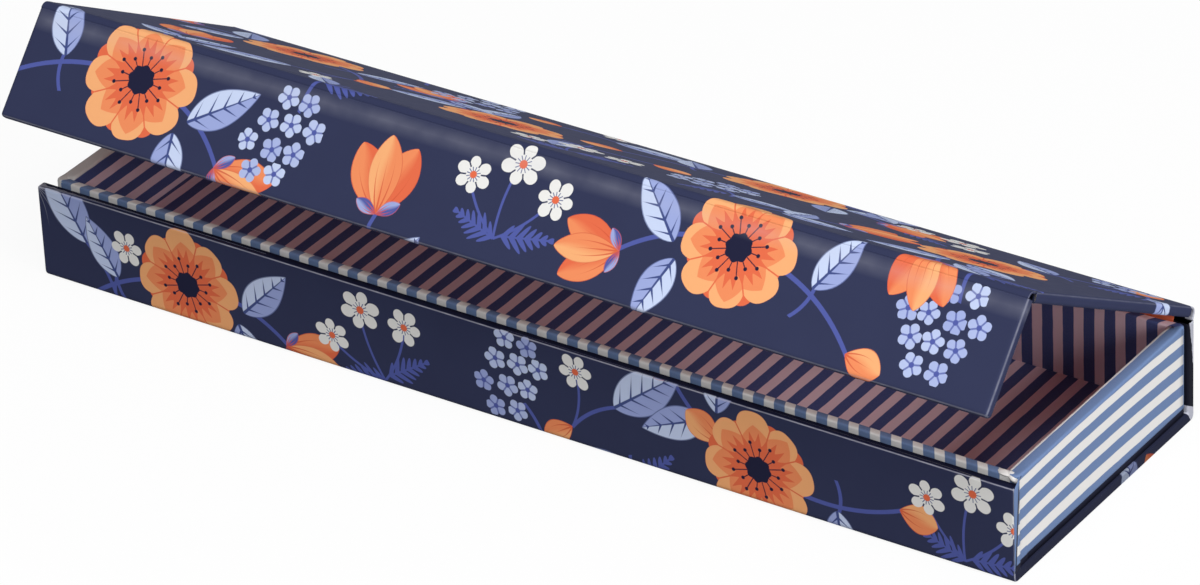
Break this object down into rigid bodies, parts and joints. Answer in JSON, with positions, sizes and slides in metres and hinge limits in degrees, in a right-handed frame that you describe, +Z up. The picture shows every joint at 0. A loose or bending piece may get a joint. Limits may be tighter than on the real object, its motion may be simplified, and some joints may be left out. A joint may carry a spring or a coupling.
{
  "type": "cardboard pencil case",
  "caption": "Long low rigid cardboard pencil case with a striped tray in a printed book-style cover: fold-over lid on a paper hinge and a magnetic front flap, stored half open.",
  "frame": {"origin": "centre of the base's underside, on the table", "axes": "+Z up, +X along the case's length to the right, -Y towards the front, where the flap closes"},
  "size_m": [0.23, 0.078, 0.06],
  "materials": {
    "printed_paper": "matt printed cover paper",
    "striped_paper": "matt striped paper",
    "lining_paper": "matt plain paper",
    "greyboard": "raw grey board",
    "stay_tape": "brown gummed paper",
    "magnet": "nickel plated"
  },
  "bodies": {
    "case": {"front_board": "greyboard", "base_board": "greyboard", "spine_board": "greyboard", "case_cover_paper": "printed_paper", "spine_lining": "lining_paper", "front_magnets": "magnet", "tray_floor_board": "greyboard", "tray_front_wall": "greyboard", "tray_back_wall": "greyboard", "tray_left_wall": "greyboard", "tray_right_wall": "greyboard", "tray_corner_stays": "stay_tape", "tray_paper": "striped_paper", "tray_floor_sheet": "striped_paper"},
    "lid": {"lid_board": "greyboard", "lid_cover_paper": "printed_paper", "lid_lining": "lining_paper", "lid_hinge_paper": "printed_paper", "lid_hinge_lining": "lining_paper"},
    "flap": {"flap_board": "greyboard", "flap_cover_paper": "printed_paper", "flap_lining": "lining_paper", "flap_magnets": "magnet", "flap_hinge_paper": "printed_paper", "flap_hinge_lining": "lining_paper"}
  },
  "joints": [
    {"name": "lid_hinge", "type": "hinge", "parent": "case", "child": "lid", "pos_m": [0, 0.0341, 0.02395], "axis": [-1, 0, 0], "range_deg": [-29.9, 150.1], "deforming": ["lid_hinge_paper", "lid_hinge_lining"]},
    {"name": "flap_hinge", "type": "hinge", "parent": "lid", "child": "flap", "pos_m": [0, -0.02683, 0.05991], "axis": [-1, 0, 0], "range_deg": [-12.4, 77.6], "deforming": ["flap_hinge_paper", "flap_hinge_lining"]}
  ]
}
